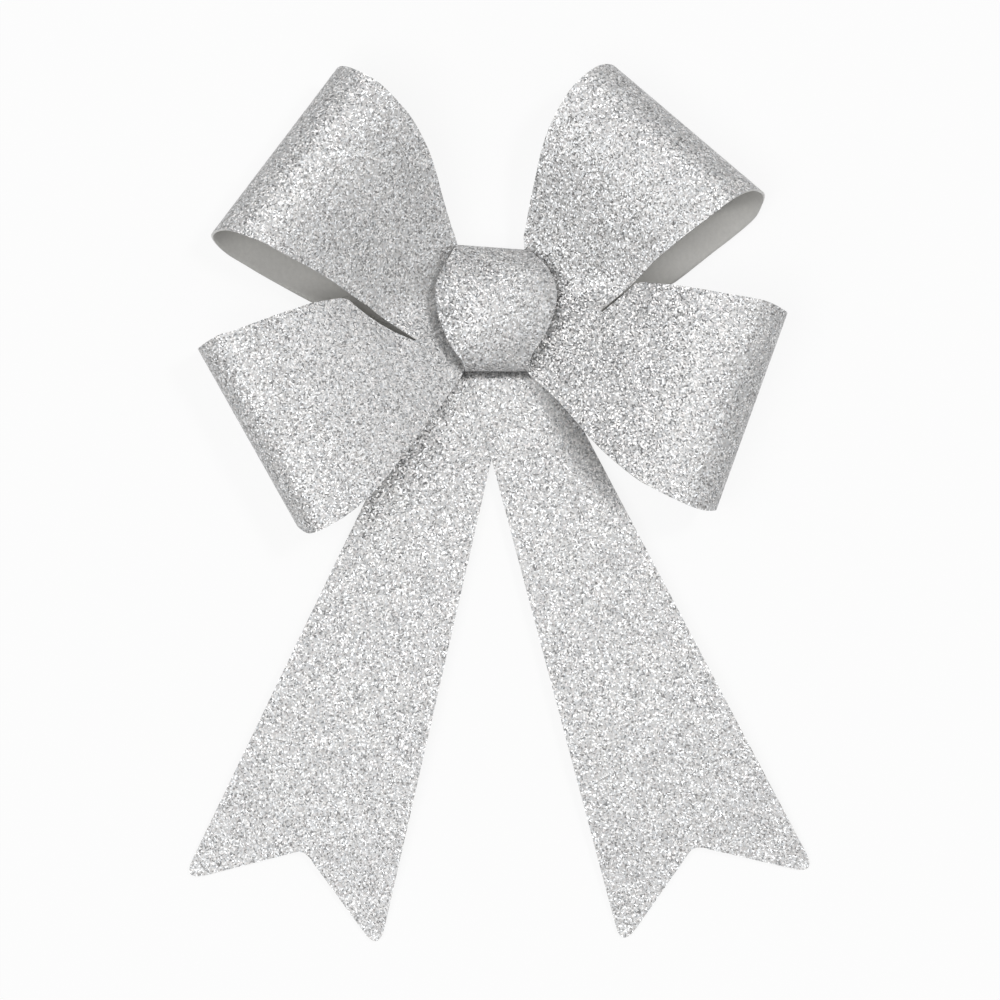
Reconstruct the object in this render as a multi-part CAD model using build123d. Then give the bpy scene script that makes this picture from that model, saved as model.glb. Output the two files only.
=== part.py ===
from build123d import *
import os
from math import cos, radians, sin

# Pre-made gift bow of die-cut glitter sheet: one four-armed sheet folded into four loops,
# two swallow-tailed tails, a knot band round the waist, and a wire twist tie behind it.
# Millimetres. The bow lies on its back: +Z out of the front, +Y to the upper loops.
# The origin is on the surface that it lies on, behind the middle of the knot.

# --- sheet, glue and clearances ---
SHEET_T = 0.6            # glitter sheet
LAYER_GAP = 0.1          # between layers pressed together at the waist
GLUE_T = 0.2             # flattened hot-melt dab
RUN_GAP = 0.3            # round the twist tie, which moves
BUTT_GAP = 0.6           # between the ends of the left and the right arms, behind
PARTING_GAP = 0.6        # slit between the upper and the lower loop of one side
BAND_GAP = 0.5           # between the knot band and the edges of the waist
BAND_SIDE_GAP = 1.6      # beside the band, where the loops widen

# --- loops: four arms of one sheet, each folded back to the waist ---
FOLD_W = 51.5            # arm across its outer fold
WAIST_W = 28.8           # sheet across the waist
TONGUE_X = 8.0           # the arms' inner ends are straight up to here
TONGUE_Y = 10.0          # and reach this far across the middle line
LEVEL_REACH = 18.0       # the sheet lies level up to here
LEVEL_R = 18.0           # bend where the front leaves the stack
FOLD_CORNER_Z = 25.0     # the front's slope, drawn on, meets the fold's face here
FOLD_FRONT_R = 8.0
FOLD_BACK_R = 7.0
FOLD_CORNER_R = 3.0      # rounded ends of the fold, seen from the front
EDGE_BULGE = 5.0         # bow of each loop's outer cut edge
SPLIT_X = 14.0           # the slit between the arms of one side runs from here ...
SPLIT_Y = -3.5
LEFT_MEET_X = -45.6      # ... to here
LEFT_MEET_Y = 1.6
RIGHT_MEET_X = 36.0
RIGHT_MEET_Y = 6.4

# --- each arm's direction in degrees, reach to its fold, and how far the middle of the
#     fold lies off that direction, towards the arm's outer cut edge ---
UPPER_LEFT_ANGLE = 142.3
UPPER_LEFT_REACH = 66.7
UPPER_LEFT_OFFSET = -5.5
UPPER_RIGHT_ANGLE = 48.4
UPPER_RIGHT_REACH = 64.3
UPPER_RIGHT_OFFSET = -9.6
LOWER_LEFT_ANGLE = 208.7
LOWER_LEFT_REACH = 68.1
LOWER_LEFT_OFFSET = -1.2
LOWER_RIGHT_ANGLE = -18.5
LOWER_RIGHT_REACH = 67.2
LOWER_RIGHT_OFFSET = 3.4
UPPER_LEAN = 0.28        # sideways shift of the upper loops' cut edges per mm of height

# --- knot band ---
KNOT_H = 31.2            # along Y, outside
KNOT_END_W = 15.5        # at the top, the bottom and the back
KNOT_MID_W = 30.0        # at its widest
KNOT_MID_Y = 2.0
KNOT_SHOULDER_Z = 11.0   # corners of the dome before rounding
KNOT_CREST_Z = 17.2
KNOT_SHOULDER_R = 8.0
KNOT_CREST_R = 15.0
TAB_BEND_R = 0.8
TAB_REACH = 8.0          # each end tab passes the middle by this
SEAM_GLUE_D = 9.0
TAIL_GLUE_D = 10.0

# --- tails ---
TAIL_LENGTH = 158.2      # from the knot's middle to the tips, before they are rounded
TAIL_TOP = 9.0           # cut end above the knot's middle
TAIL_ROOT_W = 17.3       # at the knot's middle
TAIL_END_W = 49.0        # over the tips
NOTCH_DEPTH = 17.0
NOTCH_R = 3.0
TIP_R = 2.0
LEFT_TAIL_ANGLE = 19.5   # from straight down
RIGHT_TAIL_ANGLE = 20.9
LEFT_TAIL_X = -0.7       # where the tail's middle line crosses the knot's middle
RIGHT_TAIL_X = -2.4
TAIL_FLAT = 52.0         # lies flat to here, then arches down to the tips
ARCH_H = 3.5
ARCH_START_R = 150.0
ARCH_TOP_R = 250.0
TAIL_SPARE = 1.0         # sheet left past each end for the cutting

# --- staple ---
STAPLE_W = 8.0
STAPLE_WIRE = 0.5
STAPLE_Y = 5.0
STAPLE_CLINCH = 3.0
STAPLE_HOLE = 0.8
STAPLE_BEND_R = 0.5

# --- twist tie ---
TIE_Y = -6.0
TIE_W = 4.0
TIE_FILM = 0.3
TIE_RIB = 0.9            # over the wire
TIE_WIRE = 0.5
WIRE_FIT = 0.05
TIE_HINGE_X = 15.0
TIE_LEG = 40.0

# --- levels of the stack at the waist: the back face of each layer ---
Z_TAIL_LEFT = 0.0
Z_TAILS_GLUE = Z_TAIL_LEFT + SHEET_T
Z_TAIL_RIGHT = Z_TAILS_GLUE + GLUE_T
Z_BACK_GLUE = Z_TAIL_RIGHT + SHEET_T
Z_TAB_OUTER = Z_BACK_GLUE + GLUE_T
Z_SEAM_GLUE = Z_TAB_OUTER + SHEET_T
Z_TAB_INNER = Z_SEAM_GLUE + GLUE_T
Z_TIE = Z_TAB_INNER + SHEET_T + RUN_GAP + TIE_RIB / 2      # the tie's middle
LAYER_STEP = SHEET_T + LAYER_GAP
Z_LOWER_END = Z_TIE + TIE_RIB / 2 + RUN_GAP                # folded-back ends, lower arms
Z_UPPER_END = Z_LOWER_END + LAYER_STEP                     # and upper arms
Z_FRONT = Z_UPPER_END + LAYER_STEP
Z_STAPLE = Z_FRONT + LAYER_STEP + STAPLE_WIRE / 2          # middle of the crown

FAR = 300.0              # cutting blocks reach past everything
SAME_PLACE = 0.01        # points closer than this are the same

# side, upper arm, direction, reach, offset, lean
ARMS = [
    (-1, True, UPPER_LEFT_ANGLE, UPPER_LEFT_REACH, UPPER_LEFT_OFFSET, UPPER_LEAN),
    (1, True, UPPER_RIGHT_ANGLE, UPPER_RIGHT_REACH, UPPER_RIGHT_OFFSET, UPPER_LEAN),
    (-1, False, LOWER_LEFT_ANGLE, LOWER_LEFT_REACH, LOWER_LEFT_OFFSET, 0),
    (1, False, LOWER_RIGHT_ANGLE, LOWER_RIGHT_REACH, LOWER_RIGHT_OFFSET, 0),
]


def direction(angle):
    """Unit vector in the XY plane."""
    return Vector(cos(radians(angle)), sin(radians(angle)), 0)


def upright_strip(path, plane):
    """Sheet that follows a path in an upright plane, drawn out far to both sides."""
    section = trace(path, SHEET_T)
    return extrude(plane * section, amount=FAR, both=True)


def arm_path(reach, z_end):
    """Middle of the folded sheet: along the arm and up, from its end behind to the front."""
    half = SHEET_T / 2
    back = z_end + half
    front = Z_FRONT + half
    fold = reach - half
    inner = -LEVEL_REACH
    return FilletPolyline(
        (inner, back),
        (fold, back),
        (fold, FOLD_CORNER_Z),
        (LEVEL_REACH, front),
        (inner, front),
        radius=[FOLD_BACK_R, FOLD_FRONT_R, LEVEL_R],
    )


def arm_outline(side, upper, along, outward, reach, offset):
    """Cut outline of one arm on the XY plane, before it leans."""
    turn = 1 if upper else -1
    edge = WAIST_W / 2
    corner_x = KNOT_END_W / 2 + BAND_SIDE_GAP
    meet_x = RIGHT_MEET_X if side > 0 else LEFT_MEET_X
    meet_y = RIGHT_MEET_Y if side > 0 else LEFT_MEET_Y
    lift = turn * PARTING_GAP / 2
    fold_line = along * (reach + SHEET_T)
    fold_outer = fold_line + outward * (offset + FOLD_W / 2)
    fold_inner = fold_line + outward * (offset - FOLD_W / 2)
    waist = Vector(side * corner_x, turn * edge)
    mid = (waist + fold_outer) / 2
    across = (fold_outer - waist).normalized()
    normal = Vector(-across.Y, across.X)
    bulge = normal * (EDGE_BULGE if normal.dot(outward) > 0 else -EDGE_BULGE)
    outline = [
        ThreePointArc(waist, mid + bulge, fold_outer),
        Polyline(
            fold_outer,
            fold_inner,
            (meet_x, meet_y + lift),
            (side * SPLIT_X, SPLIT_Y + lift),
            (side * TONGUE_X, -turn * TONGUE_Y),
            (0, -turn * TONGUE_Y),
            (0, turn * edge),
            waist,
        ),
    ]
    face = make_face(outline)
    ends = []
    for vertex in face.vertices():
        if min((Vector(vertex) - end).length for end in (fold_outer, fold_inner)) < SAME_PLACE:
            ends.append(vertex)
    return fillet(ends, FOLD_CORNER_R)


def band_room():
    """Space for the walls of the knot band, above and below the waist."""
    width = KNOT_END_W + 2 * BAND_SIDE_GAP
    start = KNOT_H / 2 - SHEET_T - BAND_GAP
    blocks = []
    for side in (1, -1):
        block = Box(width, FAR, FOLD_CORNER_Z)
        blocks.append(Pos(0, side * (start + FAR / 2), FOLD_CORNER_Z / 2) * block)
    return blocks


def build_arm(side, upper, angle, reach, offset, lean):
    """One arm, folded back on itself and cut to its outline."""
    along = direction(angle)
    outward = direction(angle + 90 * side * (1 if upper else -1))
    plane = Plane(origin=(0, 0, 0), x_dir=along, z_dir=along.cross(Vector(0, 0, 1)))
    strip = upright_strip(arm_path(reach, Z_UPPER_END if upper else Z_LOWER_END), plane)
    outline = arm_outline(side, upper, along, outward, reach, offset)
    leaning = outward * lean + Vector(0, 0, 1)
    prism = extrude(outline, amount=2 * FOLD_CORNER_Z, dir=leaning)
    other_side = Pos(side * (BUTT_GAP / 2 - FAR / 2), 0, Z_FRONT / 2) * Box(FAR, FAR, Z_FRONT)
    return (strip & prism) - other_side


def build_loops():
    """The four-armed sheet: its arms joined at the front, pierced by the staple behind the knot."""
    sheet = build_arm(*ARMS[0])
    for arm in ARMS[1:]:
        sheet = sheet + build_arm(*arm)
    for block in band_room():
        sheet = sheet - block
    for side in (-1, 1):
        hole = Cylinder(STAPLE_HOLE / 2, FOLD_CORNER_Z)
        sheet = sheet - Pos(side * STAPLE_W / 2, STAPLE_Y, FOLD_CORNER_Z / 2) * hole
    return sheet


def knot_outline():
    """Barrel outline of the front of the knot band."""
    half = KNOT_H / 2
    end = KNOT_END_W / 2
    belly = KNOT_MID_W / 2
    return make_face([
        Line((-end, half), (end, half)),
        ThreePointArc((end, half), (belly, KNOT_MID_Y), (end, -half)),
        Line((end, -half), (-end, -half)),
        ThreePointArc((-end, -half), (-belly, KNOT_MID_Y), (-end, half)),
    ])


def build_knot_band():
    """Band wrapped from top to bottom round the waist, its end tabs overlapping behind."""
    half = SHEET_T / 2
    wall = KNOT_H / 2 - half
    path = FilletPolyline(
        (-TAB_REACH, Z_TAB_INNER + half),
        (wall, Z_TAB_INNER + half),
        (wall, KNOT_SHOULDER_Z),
        (0, KNOT_CREST_Z),
        (-wall, KNOT_SHOULDER_Z),
        (-wall, Z_TAB_OUTER + half),
        (TAB_REACH, Z_TAB_OUTER + half),
        radius=[TAB_BEND_R, KNOT_SHOULDER_R, KNOT_CREST_R, KNOT_SHOULDER_R, TAB_BEND_R],
    )
    strip = upright_strip(path, Plane.YZ)
    front = Pos(0, 0, Z_STAPLE) * extrude(knot_outline(), amount=FAR)
    back = Pos(0, 0, Z_STAPLE / 2) * Box(KNOT_END_W, KNOT_H, Z_STAPLE)
    return strip & (front + back)


def build_tail(side):
    """One flared strip with a swallow-tailed end, lying flat at the knot and then arched."""
    half = SHEET_T / 2
    z_root = Z_TAIL_RIGHT if side > 0 else Z_TAIL_LEFT
    lean = RIGHT_TAIL_ANGLE if side > 0 else LEFT_TAIL_ANGLE
    root_x = RIGHT_TAIL_X if side > 0 else LEFT_TAIL_X
    flare = (TAIL_END_W - TAIL_ROOT_W) / 2 / TAIL_LENGTH
    top_half = TAIL_ROOT_W / 2 - flare * TAIL_TOP
    tip_half = TAIL_END_W / 2
    outline = make_face(Polyline(
        (-TAIL_TOP, -top_half),
        (TAIL_LENGTH, -tip_half),
        (TAIL_LENGTH - NOTCH_DEPTH, 0),
        (TAIL_LENGTH, tip_half),
        (-TAIL_TOP, top_half),
        close=True,
    ))
    tips = outline.vertices().group_by(Axis.X)[-1]
    outline = fillet(tips, TIP_R)
    notch = outline.vertices().sort_by_distance((TAIL_LENGTH - NOTCH_DEPTH, 0, 0))[0]
    outline = fillet(notch, NOTCH_R)
    path = FilletPolyline(
        (-TAIL_TOP - TAIL_SPARE, z_root + half),
        (TAIL_FLAT, z_root + half),
        ((TAIL_FLAT + TAIL_LENGTH) / 2, z_root + half + ARCH_H),
        (TAIL_LENGTH + TAIL_SPARE, half),
        radius=[ARCH_START_R, ARCH_TOP_R],
    )
    strip = upright_strip(path, Plane(origin=(0, 0, 0), x_dir=(1, 0, 0), z_dir=(0, -1, 0)))
    tail = strip & extrude(outline, amount=FOLD_CORNER_Z)
    return Pos(root_x, 0, 0) * Rot(0, 0, -90 + side * lean) * tail


def build_staple():
    """Wire staple through the front and the arms' ends, its legs clinched behind them."""
    half = STAPLE_W / 2
    path = FilletPolyline(
        (-half + STAPLE_CLINCH, STAPLE_Y, Z_TIE),
        (-half, STAPLE_Y, Z_TIE),
        (-half, STAPLE_Y, Z_STAPLE),
        (half, STAPLE_Y, Z_STAPLE),
        (half, STAPLE_Y, Z_TIE),
        (half - STAPLE_CLINCH, STAPLE_Y, Z_TIE),
        radius=STAPLE_BEND_R,
    )
    start = Plane(origin=path @ 0, z_dir=path % 0)
    return sweep(start * Circle(STAPLE_WIRE / 2), path=path)


def build_glue(diameter, z):
    """Flattened dab of hot-melt glue between two layers."""
    return Pos(0, 0, z + GLUE_T / 2) * Cylinder(diameter / 2, GLUE_T)


def tie_section():
    """Cross-section of the tie's film, with its rib and the bore for the wire."""
    bore = Circle(TIE_WIRE / 2 + WIRE_FIT)
    return Rectangle(TIE_W, TIE_FILM) + Circle(TIE_RIB / 2) - bore


def tie_run(section, x_start, x_end):
    """Section drawn out along X on the tie's own line."""
    plane = Plane(origin=(x_start, TIE_Y, Z_TIE), x_dir=(0, 1, 0), z_dir=(1, 0, 0))
    return extrude(plane * section, amount=x_end - x_start)


def build_tie():
    """The bridge behind the loops and the two legs, which bend at its ends."""
    wire = Circle(TIE_WIRE / 2)
    knuckle_r = TIE_RIB / 2
    bridge_end = TIE_HINGE_X - knuckle_r - RUN_GAP
    leg_start = TIE_HINGE_X + knuckle_r
    leg_end = TIE_HINGE_X + TIE_LEG
    knuckle = Pos(TIE_HINGE_X, TIE_Y, Z_TIE) * Rot(90, 0, 0) * Cylinder(knuckle_r, TIE_W)
    web_mid = TIE_HINGE_X + knuckle_r / 2
    web = Pos(web_mid, TIE_Y, Z_TIE) * Box(knuckle_r, TIE_W, TIE_FILM)
    leg = knuckle + web + tie_run(tie_section(), leg_start, leg_end)
    leg_wire = tie_run(wire, leg_start, leg_end)
    return {
        "tie_bridge_film": tie_run(tie_section(), -bridge_end, bridge_end),
        "tie_bridge_wire": tie_run(wire, -bridge_end, bridge_end),
        "tie_right_leg_film": leg,
        "tie_right_leg_wire": leg_wire,
        "tie_left_leg_film": mirror(leg, about=Plane.YZ),
        "tie_left_leg_wire": mirror(leg_wire, about=Plane.YZ),
    }


def build_all():
    """Every node of the bow by name."""
    nodes = {}
    nodes["loops_sheet"] = build_loops()
    nodes["knot_band"] = build_knot_band()
    nodes["left_tail"] = build_tail(-1)
    nodes["right_tail"] = build_tail(1)
    nodes["waist_staple"] = build_staple()
    nodes["knot_seam_glue"] = build_glue(SEAM_GLUE_D, Z_SEAM_GLUE)
    nodes["knot_to_tail_glue"] = build_glue(TAIL_GLUE_D, Z_BACK_GLUE)
    nodes["tail_to_tail_glue"] = build_glue(TAIL_GLUE_D, Z_TAILS_GLUE)
    nodes.update(build_tie())
    return nodes


os.makedirs("parts", exist_ok=True)
for node, shape in build_all().items():
    export_step(shape, f"parts/{node}.step")
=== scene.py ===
from math import cos, radians, sin

import bmesh
import bpy
import numpy as np
from bpy.props import FloatProperty, FloatVectorProperty, PointerProperty
from mathutils import Matrix, Vector


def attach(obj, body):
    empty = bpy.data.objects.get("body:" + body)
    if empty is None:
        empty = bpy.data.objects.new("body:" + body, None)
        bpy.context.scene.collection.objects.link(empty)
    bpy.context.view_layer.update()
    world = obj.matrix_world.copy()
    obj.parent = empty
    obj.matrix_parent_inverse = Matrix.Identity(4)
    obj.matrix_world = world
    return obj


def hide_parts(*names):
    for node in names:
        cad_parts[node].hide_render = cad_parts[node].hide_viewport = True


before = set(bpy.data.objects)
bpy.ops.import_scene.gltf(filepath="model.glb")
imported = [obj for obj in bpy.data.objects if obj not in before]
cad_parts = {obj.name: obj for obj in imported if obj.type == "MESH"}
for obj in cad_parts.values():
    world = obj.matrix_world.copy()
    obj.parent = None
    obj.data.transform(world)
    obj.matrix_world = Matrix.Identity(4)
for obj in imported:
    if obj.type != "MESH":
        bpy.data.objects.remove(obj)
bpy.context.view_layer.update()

bl_info = {
    "name": "Gift Bow",
    "version": (1, 0, 0),
    "blender": (4, 5, 0),
    "location": "3D View > Sidebar > Gift Bow",
    "description": "Makes a ready-made gift bow of folded glitter sheet on its packed frame",
    "category": "Object",
}

# Shapes are worked out in millimetres, seen from the front: +X right, +Y up, +Z out.
MM = 0.001
SHEET_T = 0.6
FRONT = 6.5  # glitter face of the sheet at the waist
LEVEL = 9.0  # the sheet lies level up to here
SLOPE_STEP = 0.2  # a bent sheet's slope is taken between points this far to either side
FLAKE_SEED = 7
OUTSIDE, BACK, RIM = 0, 1, 2

# The square that a sheet's sides share for export: outside above, back below, rim between.
SQUARE_MARGIN, SQUARE_SPAN = 0.01, 0.98
OUTSIDE_FROM, OUTSIDE_TALL, BACK_BELOW = 0.53, 0.46, 0.52
RIM_FROM, RIM_TALL, RIM_ROWS = 0.482, 0.009, 4


# --- curves ---

def smooth(x):
    """Eases from 0 to 1 as x goes from 0 to 1."""
    x = np.clip(x, 0, 1)
    return x * x * (3 - 2 * x)


def bezier(start, pull_out, pull_in, end, count):
    """Points of one cubic curve, without its last."""
    t = np.linspace(0, 1, count, endpoint=False)[:, None]
    p = np.array([start, pull_out, pull_in, end], float)
    near, far = 3 * t * (1 - t) ** 2 * p[1], 3 * t * t * (1 - t) * p[2]
    return (1 - t) ** 3 * p[0] + near + far + t ** 3 * p[3]


def curve_through(points, step=1.0):
    """Smooth line through points, with its ends."""
    p = np.array(points, float)
    p = np.vstack([2 * p[0] - p[1], p, 2 * p[-1] - p[-2]])
    line = []
    for a, b, c, d in zip(p, p[1:], p[2:], p[3:]):
        count = max(2, int(np.linalg.norm(c - b) / step))
        line.append(bezier(b, b + (c - a) / 6, c - (d - b) / 6, c, count))
    return np.vstack(line + [p[-2:-1]])


def rounded(points, radii):
    """Closed outline through points, each corner cut back by its radius and rounded."""
    p = np.array(points, float)
    line = []
    for before, at, after, radius in zip(np.roll(p, 1, 0), p, np.roll(p, -1, 0), radii):
        if radius == 0:
            line.append(at[None])
            continue
        to_before = (before - at) / np.linalg.norm(before - at)
        to_after = (after - at) / np.linalg.norm(after - at)
        half = np.arccos(np.dot(to_before, to_after)) / 2
        cut = radius / np.tan(half)
        a, b = at + to_before * cut, at + to_after * cut
        line.append(np.vstack([bezier(a, (a + 2 * at) / 3, (b + 2 * at) / 3, b, 8), b[None]]))
    return np.vstack(line)


def distances(path):
    """Length along a path to each of its points."""
    return np.concatenate([[0], np.cumsum(np.linalg.norm(np.diff(path, axis=0), axis=1))])


def unit(angle):
    return np.array([cos(radians(angle)), sin(radians(angle))])


# --- flat sheets ---

TRIM_PASSES = 3
SHARP_TURN = 25  # in degrees: where a cut line turns by more, it has a sharp corner
CORNER_REACH = 1.2  # in squares: a rim point this near a sharp corner goes into it
MERGE_REACH = 0.15  # in squares: rim points nearer together than this become one


def inside(points, outline):
    """Which points lie within a closed outline, by the edges that a ray crosses."""
    x, y = points.T
    crossed = np.zeros(len(points), bool)
    for (x1, y1), (x2, y2) in zip(outline, np.roll(outline, -1, 0)):
        if y1 != y2:
            crossed ^= ((y1 > y) != (y2 > y)) & (x < (x2 - x1) * (y - y1) / (y2 - y1) + x1)
    return crossed


def nearest_on(points, line):
    """The nearest point of an open line to each point."""
    start, run = line[:-1], np.diff(line, axis=0)
    long = (run ** 2).sum(1)
    start, run, long = start[long > 0], run[long > 0], long[long > 0]
    share = ((points[:, None] - start) * run).sum(2) / long
    on = start + np.clip(share, 0, 1)[..., None] * run
    return on[np.arange(len(points)), ((points[:, None] - on) ** 2).sum(2).argmin(1)]


def corners_of(line):
    """Points where a line turns sharply."""
    run = np.diff(line, axis=0)
    run = run / np.linalg.norm(run, axis=1)[:, None]
    return line[1:-1][(run[:-1] * run[1:]).sum(1) < cos(radians(SHARP_TURN))]


def level_grid(low, high, pitch):
    """Level grid of squares from one corner at least as far as the other."""
    cells = np.ceil((high - low) / pitch).astype(int)
    size = cells * pitch
    bm = bmesh.new()
    bmesh.ops.create_grid(bm, x_segments=int(cells[0]), y_segments=int(cells[1]), size=0.5)
    place = Matrix.Translation((*(low + size / 2), 0)) @ Matrix.Diagonal((*size, 1, 1))
    bmesh.ops.transform(bm, matrix=place, verts=bm.verts)
    return bm


def mark_squares(bm, outlines, owner_of):
    """Marks which part each square is of, and whether it is kept, within that part's outline."""
    part = bm.faces.layers.int.new("square_part")
    kept = bm.faces.layers.int.new("kept")
    middles = np.array([face.calc_center_median()[:2] for face in bm.faces])
    owners = np.zeros(len(middles), int) if owner_of is None else owner_of(middles)
    within = np.zeros(len(middles), bool)
    for i, outline in enumerate(outlines):
        within |= (owners == i) & inside(middles, outline)
    for face, own, keep in zip(bm.faces, owners.tolist(), within.tolist()):
        face[part], face[kept] = own, keep
    return part, kept


def open_slits(bm, part, parted):
    """Splits the squares of different parts from each other wherever parted says."""
    seam = [e for e in bm.edges if len({f[part] for f in e.link_faces}) > 1]
    ends = (e.verts for e in seam)
    middles = np.array([[(v.co.x + w.co.x) / 2, (v.co.y + w.co.y) / 2] for v, w in ends])
    slit = [e for e, cut in zip(seam, parted(middles)) if cut]
    bmesh.ops.split_edges(bm, edges=slit)


def trim(bm, kept):
    """Deletes the squares outside the cut, then those left hanging by one side or a corner."""
    bmesh.ops.delete(bm, geom=[f for f in bm.faces if not f[kept]], context="FACES")
    for _ in range(TRIM_PASSES):
        ragged = {f for f in bm.faces if sum(e.is_boundary for e in f.edges) > 2}
        for v in bm.verts:
            if sum(e.is_boundary for e in v.link_edges) > 2:
                ragged.update(v.link_faces)
        bmesh.ops.delete(bm, geom=list(ragged), context="FACES")


def fit_rim(bm, owner, cuts, pitch):
    """Moves the stepped rim onto the cut lines, with a point in each sharp corner."""
    for i, line in enumerate(cuts):
        rim = [v for v in bm.verts if v.is_boundary and v[owner] == i]
        at = nearest_on(np.array([v.co[:2] for v in rim]), line)
        for corner in corners_of(line):
            away = np.linalg.norm(at - corner, axis=1)
            if away.min() < CORNER_REACH * pitch:
                at[away.argmin()] = corner
        for v, xy in zip(rim, at):
            v.co.x, v.co.y = xy
        bmesh.ops.remove_doubles(bm, verts=rim, dist=MERGE_REACH * pitch)


def fix_order(bm):
    """Puts the faces in a fixed order, which extruding leaves to chance."""
    bm.verts.index_update()
    many = len(bm.verts)
    bm.faces.sort(key=lambda f: f.verts[0].index * many + f.verts[2].index)


def cut_sheet(cuts, pitch, owner_of=None, parted=None, hub=None):
    """Level sheet of glitter-sized squares, cut to shape and given its thickness below.

    cuts: the cut line of each part of the sheet. hub: the point that closes each part's
    outline. owner_of: tells which part a point is on. parted: tells where parts are slit.
    """
    outlines = [line if hub is None else np.vstack([line, [hub]]) for line in cuts]
    corners = np.vstack(cuts)
    bm = level_grid(corners.min(0) - pitch, corners.max(0) + pitch, pitch)
    part, kept = mark_squares(bm, outlines, owner_of)
    if parted is not None:
        open_slits(bm, part, parted)
    trim(bm, kept)
    owner = bm.verts.layers.int.new("part")
    held = bm.verts.layers.int.new("held")
    for v in bm.verts:
        v[owner] = min(f[part] for f in v.link_faces)
        v[held] = v.is_boundary
    fit_rim(bm, owner, cuts, pitch)
    grown = bmesh.ops.extrude_face_region(bm, geom=bm.faces[:], use_keep_orig=True)
    below = [v for v in grown["geom"] if isinstance(v, bmesh.types.BMVert)]
    bmesh.ops.translate(bm, verts=below, vec=(0, 0, -SHEET_T))
    bmesh.ops.recalc_face_normals(bm, faces=bm.faces[:])
    fix_order(bm)
    return bm


def numbers(items, name, width=1, kind=np.int32):
    """A property of all items as an array, with one value or several a row."""
    values = np.empty(len(items) * width, kind)
    items.foreach_get(name, values)
    return values.reshape(-1, width) if width > 1 else values


def spread_out(flat, first, side):
    """Where each face corner lies on a square that holds outside, back and rim side by side.

    flat: the corners on the flat sheet. first: each face's first corner. side: its finish.
    """
    xy = flat[:, :2] - flat[:, :2].min(0)
    size = xy.max(0)
    if size[1] > size[0]:
        xy, size = np.column_stack([xy[:, 1], size[0] - xy[:, 0]]), size[::-1]
    of_face = np.repeat(side, np.diff(np.append(first, len(flat))))
    at = np.column_stack([
        SQUARE_MARGIN + SQUARE_SPAN * xy[:, 0] / size[0],
        OUTSIDE_FROM + OUTSIDE_TALL * xy[:, 1] / size[1]])
    at[of_face == BACK, 1] -= BACK_BELOW
    rim = first[side == RIM]
    per_row = -(-len(rim) // RIM_ROWS)
    row, place = np.divmod(np.arange(len(rim)), per_row)
    left = SQUARE_MARGIN + SQUARE_SPAN * place / per_row
    low = np.column_stack([left, RIM_FROM + RIM_TALL * row])
    cell = np.array([(0, 0), (1, 0), (1, 1), (0, 1)]) * (SQUARE_SPAN / per_row, RIM_TALL)
    at[rim[:, None] + np.arange(4)] = low[:, None] + cell
    return at


def put_in_scene(name, data):
    """Makes an object of a mesh, lamp or camera."""
    thing = bpy.data.objects.new(name, data)
    bpy.context.scene.collection.objects.link(thing)
    return thing


def lay_grains(flat, parts, grain, lay, flakes):
    """Bends a flat sheet's points as lay says, with each grain a little off its place."""
    draw = np.random.default_rng(FLAKE_SEED)
    xy = flat[:, :2] + draw.uniform(-1, 1, (len(flat), 2)) * flakes.scatter / MM * grain[:, None]
    across = lay(xy + (SLOPE_STEP, 0), parts) - lay(xy - (SLOPE_STEP, 0), parts)
    up = lay(xy + (0, SLOPE_STEP), parts) - lay(xy - (0, SLOPE_STEP), parts)
    normal = np.cross(across, up)
    normal /= np.linalg.norm(normal, axis=1)[:, None]
    depth = flat[:, 2] + draw.uniform(-1, 1, len(flat)) * flakes.relief / MM * grain
    return lay(xy, parts) + normal * depth[:, None]


def form_sheet(name, bm, lay):
    """Makes the cut sheet into a piece, bent as lay says, with glitter grains on its outside.

    lay: takes flat points and their parts, and gives points on the glitter face.
    """
    mesh = bpy.data.meshes.new(name)
    bm.to_mesh(mesh)
    bm.free()
    flat = numbers(mesh.vertices, "co", 3, np.float32).astype(float)
    parts = numbers(mesh.attributes["part"].data, "value")
    held = numbers(mesh.attributes["held"].data, "value") > 0
    grain = ~held & (flat[:, 2] > -SHEET_T / 2)
    placed = lay_grains(flat, parts, grain, lay, bpy.context.scene.gift_bow.flakes)
    mesh.vertices.foreach_set("co", (placed * MM).ravel().astype(np.float32))
    corner = numbers(mesh.loops, "vertex_index")
    first = numbers(mesh.polygons, "loop_start")
    count = numbers(mesh.polygons, "loop_total")
    level = np.add.reduceat(flat[corner, 2], first) / count
    side = np.where(level > -0.1 * SHEET_T, OUTSIDE, np.where(level < -0.9 * SHEET_T, BACK, RIM))
    mesh.polygons.foreach_set("material_index", side.astype(np.int32))
    mesh.polygons.foreach_set("use_smooth", side == BACK)
    pattern = mesh.uv_layers.new(name="Flat")
    pattern.uv.foreach_set("vector", (flat[corner, :2] * MM).ravel().astype(np.float32))
    export = mesh.uv_layers.new(name="OFBake")
    spread = spread_out(flat[corner], first, side)
    export.uv.foreach_set("vector", spread.ravel().astype(np.float32))
    mesh.uv_layers["Flat"].active_render = True
    for material in sheet_finishes():
        mesh.materials.append(material)
    for layer in ("part", "held", "square_part", "kept"):
        mesh.attributes.remove(mesh.attributes[layer])
    mesh.update()
    return put_in_scene(name, mesh)


# --- loops ---

PROFILE_LEAD = 90  # an arm's folded profile begins this far before the middle of the waist
PROFILE_TAIL = 30  # and ends this far past it, behind
FOLD_TOP = 9.5  # the crest ends and the fold begins this far short of the arm's reach
FOLD_UNDER = 10.0  # behind, the fold ends this far short of it
BACK_LEVEL = 6.0  # behind, the sheet lies level this much further out than in front
CREST_PULL, FOLD_PULL, BELLY_PULL = 28, 4, 24  # its curves are pulled this far short of it,
TIP_PULL, BACK_PULL = 5, 20  # this far up and down its tip, and out from where it is level
LEAN_EASE = 30.0  # an arm starts to lean outwards over this

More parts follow.
